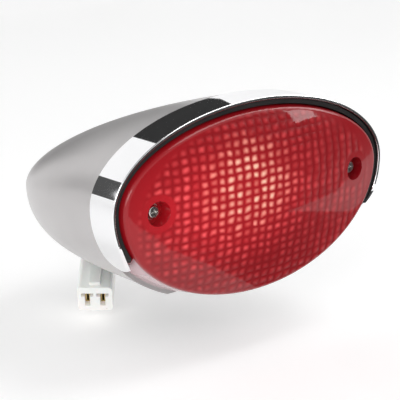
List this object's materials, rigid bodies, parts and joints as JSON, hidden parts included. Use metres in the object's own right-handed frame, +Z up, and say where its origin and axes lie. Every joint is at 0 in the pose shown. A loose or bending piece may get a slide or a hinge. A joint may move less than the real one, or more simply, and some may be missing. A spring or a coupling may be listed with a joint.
{
  "type": "motorcycle tail light",
  "caption": "Cat-eye motorcycle tail and brake light: teardrop silver shell, chrome bezel, red lens held by screws, clear number-plate window, bayonet bulb, and a short lead with a connector.",
  "frame": {"origin": "centre of the mounting pad's lower face, where the light sits on its bracket", "axes": "+Z up and away from the bracket, the lens faces -Y, the tail points to +Y, +X is to the right for someone facing the lens"},
  "size_m": [0.15, 0.1289, 0.1104],
  "materials": {
    "shell_paint": "satin silver paint over moulded plastic",
    "bezel_chrome": "bright plating",
    "lens_red": "clear-through red moulding with pillow optics",
    "window_clear": "clear moulding",
    "black_rubber": "matt",
    "screw_steel": "bright zinc",
    "plate_steel": "dull zinc",
    "reflector_silver": "metallised",
    "socket_steel": "plated",
    "carrier_board": "pressed insulating board",
    "contact_brass": "plain",
    "solder": "soft and dull",
    "bulb_glass_clear": "clear",
    "filament_wire": "dark",
    "insulator_black": "moulded",
    "sleeve_black": "soft sleeve",
    "wire_covers": "wire cover",
    "connector_cream": "moulded nylon"
  },
  "bodies": {
    "housing": {"housing_shell": "shell_paint", "chrome_bezel": "bezel_chrome", "reflector": "reflector_silver", "socket_shell": "socket_steel", "socket_rivets": "contact_brass", "socket_boot": "black_rubber", "carrier_spring": "screw_steel", "base_pad": "black_rubber", "mount_plate": "plate_steel", "weld_nuts": "plate_steel", "plate_screws": "screw_steel", "lead_grommet": "black_rubber", "lead_inner": "sleeve_black", "lead_sleeve": "sleeve_black", "lead_wires": "wire_covers", "connector_housing": "connector_cream", "connector_terminals": "contact_brass"},
    "lens": {"red_lens": "lens_red", "plate_window": "window_clear", "lens_gasket": "black_rubber", "screw_washers": "screw_steel"},
    "screw_left": {"lens_screw_left": "screw_steel"},
    "screw_right": {"lens_screw_right": "screw_steel"},
    "carrier": {"contact_carrier": "carrier_board", "contact_plungers": "contact_brass"},
    "bulb": {"bulb_glass": "bulb_glass_clear", "bulb_cap": "contact_brass", "bulb_insulator": "insulator_black", "bulb_contacts": "solder", "bulb_stem": "bulb_glass_clear", "bulb_posts": "filament_wire", "bulb_filaments": "filament_wire"}
  },
  "joints": [
    {"name": "lens_off", "type": "slide", "parent": "housing", "child": "lens", "axis": [0, -1, 0], "range_m": [0, 0.06]},
    {"name": "left_screw_out", "type": "slide", "parent": "lens", "child": "screw_left", "axis": [0, -1, 0], "range_m": [0, 0.014]},
    {"name": "right_screw_out", "type": "slide", "parent": "lens", "child": "screw_right", "axis": [0, -1, 0], "range_m": [0, 0.014]},
    {"name": "contact_press", "type": "slide", "parent": "housing", "child": "carrier", "axis": [0, 1, 0], "range_m": [0, 0.002], "stiffness_N_per_m": 1000, "springref_m": -0.003, "deforming": ["carrier_spring"]},
    {"name": "bulb_turn", "type": "hinge", "parent": "carrier", "child": "bulb", "pos_m": [0, 0, 0.0415], "axis": [0, 1, 0], "range_deg": [0, 25]}
  ]
}
